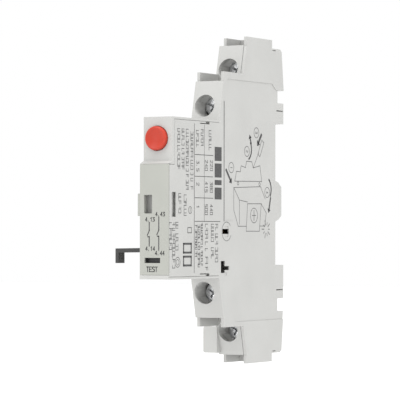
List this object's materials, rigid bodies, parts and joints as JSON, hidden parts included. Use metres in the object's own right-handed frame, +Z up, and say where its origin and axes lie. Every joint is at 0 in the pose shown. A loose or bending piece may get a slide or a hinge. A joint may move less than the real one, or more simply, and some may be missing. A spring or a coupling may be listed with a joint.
{
  "type": "side-mounted auxiliary contact module",
  "caption": "Slim side-mounted auxiliary contact module with stepped screw terminals, a red reset button and a black trip lever.",
  "frame": {"origin": "on the breaker-side face, in the plane of the rail recess, halfway up", "axes": "+X away from the breaker, -Y to the front, +Z up"},
  "size_m": [0.0183, 0.066, 0.093],
  "materials": {
    "light_grey_plastic": "fine matt",
    "cover_grey_plastic": "fine matt",
    "red_plastic": "satin",
    "black_plastic": "fine matt",
    "dark_grey_plastic": "fine matt",
    "zinc_steel": "zinc plated",
    "steel": "drawn",
    "spring_steel": "drawn wire",
    "silver": "satin",
    "brass": "stamped"
  },
  "bodies": {
    "housing": {"housing_base": "light_grey_plastic", "side_cover": "light_grey_plastic", "front_cover": "cover_grey_plastic", "lever_pivot_pin": "steel", "button_spring": "spring_steel", "lever_return_spring": "spring_steel", "trip_return_spring": "spring_steel", "short_return_spring": "spring_steel", "trip_fixed_tips": "silver", "short_fixed_tips": "silver", "contact_strip_inner_top": "brass", "contact_strip_inner_bottom": "brass", "contact_strip_outer_top": "brass", "contact_strip_outer_bottom": "brass", "terminal_nut_inner_top": "zinc_steel", "terminal_nut_inner_bottom": "zinc_steel", "terminal_nut_outer_top": "zinc_steel", "terminal_nut_outer_bottom": "zinc_steel"},
    "lever": {"trip_lever": "black_plastic"},
    "test": {"test_slide": "dark_grey_plastic"},
    "trip_slide": {"trip_carrier": "dark_grey_plastic", "trip_bridge": "brass", "trip_bridge_tips": "silver", "trip_contact_spring": "spring_steel"},
    "short_slide": {"short_carrier": "dark_grey_plastic", "short_bridge": "brass", "short_bridge_tips": "silver", "short_contact_spring": "spring_steel"},
    "button": {"reset_button": "red_plastic"},
    "clamp_inner_top": {"clamp_plate_inner_top": "zinc_steel"},
    "screw_inner_top": {"terminal_screw_inner_top": "zinc_steel"},
    "clamp_inner_bottom": {"clamp_plate_inner_bottom": "zinc_steel"},
    "screw_inner_bottom": {"terminal_screw_inner_bottom": "zinc_steel"},
    "clamp_outer_top": {"clamp_plate_outer_top": "zinc_steel"},
    "screw_outer_top": {"terminal_screw_outer_top": "zinc_steel"},
    "clamp_outer_bottom": {"clamp_plate_outer_bottom": "zinc_steel"},
    "screw_outer_bottom": {"terminal_screw_outer_bottom": "zinc_steel"}
  },
  "joints": [
    {"name": "lever_pivot", "type": "hinge", "parent": "housing", "child": "lever", "pos_m": [0.0044, -0.0491, -0.009], "axis": [1, 0, 0], "range_deg": [0, 12], "stiffness_Nm_per_rad": 0.004, "springref_deg": -8.59, "deforming": ["lever_return_spring"]},
    {"name": "trip_slide_travel", "type": "slide", "parent": "housing", "child": "trip_slide", "axis": [0, -1, 0], "range_m": [0, 0.00188], "deforming": ["trip_return_spring"]},
    {"name": "test_slide_travel", "type": "slide", "parent": "housing", "child": "test", "axis": [0, 1, 0], "range_m": [0, 0.0017]},
    {"name": "button_travel", "type": "slide", "parent": "housing", "child": "button", "axis": [0, -1, 0], "range_m": [0, 0.00188], "deforming": ["button_spring"]},
    {"name": "short_slide_travel", "type": "slide", "parent": "housing", "child": "short_slide", "axis": [0, -1, 0], "range_m": [0, 0.00188], "deforming": ["short_return_spring"]},
    {"name": "clamp_travel_inner_top", "type": "slide", "parent": "housing", "child": "clamp_inner_top", "axis": [0, -1, 0], "range_m": [0, 0.0015]},
    {"name": "screw_turn_inner_top", "type": "hinge", "parent": "clamp_inner_top", "child": "screw_inner_top", "pos_m": [0.00375, -0.0274, 0.0262], "axis": [0, -1, 0], "continuous": true},
    {"name": "clamp_travel_inner_bottom", "type": "slide", "parent": "housing", "child": "clamp_inner_bottom", "axis": [0, -1, 0], "range_m": [0, 0.0015]},
    {"name": "screw_turn_inner_bottom", "type": "hinge", "parent": "clamp_inner_bottom", "child": "screw_inner_bottom", "pos_m": [0.00375, -0.0274, -0.0262], "axis": [0, -1, 0], "continuous": true},
    {"name": "clamp_travel_outer_top", "type": "slide", "parent": "housing", "child": "clamp_outer_top", "axis": [0, -1, 0], "range_m": [0, 0.0015]},
    {"name": "screw_turn_outer_top", "type": "hinge", "parent": "clamp_outer_top", "child": "screw_outer_top", "pos_m": [0.00375, -0.0138, 0.0372], "axis": [0, -1, 0], "continuous": true},
    {"name": "clamp_travel_outer_bottom", "type": "slide", "parent": "housing", "child": "clamp_outer_bottom", "axis": [0, -1, 0], "range_m": [0, 0.0015]},
    {"name": "screw_turn_outer_bottom", "type": "hinge", "parent": "clamp_outer_bottom", "child": "screw_outer_bottom", "pos_m": [0.00375, -0.0138, -0.0372], "axis": [0, -1, 0], "continuous": true}
  ],
  "couplings": [
    {"joint": "lever_pivot", "follows": "trip_slide_travel", "rad_per_m": 111.1},
    {"joint": "test_slide_travel", "follows": "trip_slide_travel", "ratio": 0.8889},
    {"joint": "short_slide_travel", "follows": "button_travel", "ratio": 1}
  ]
}
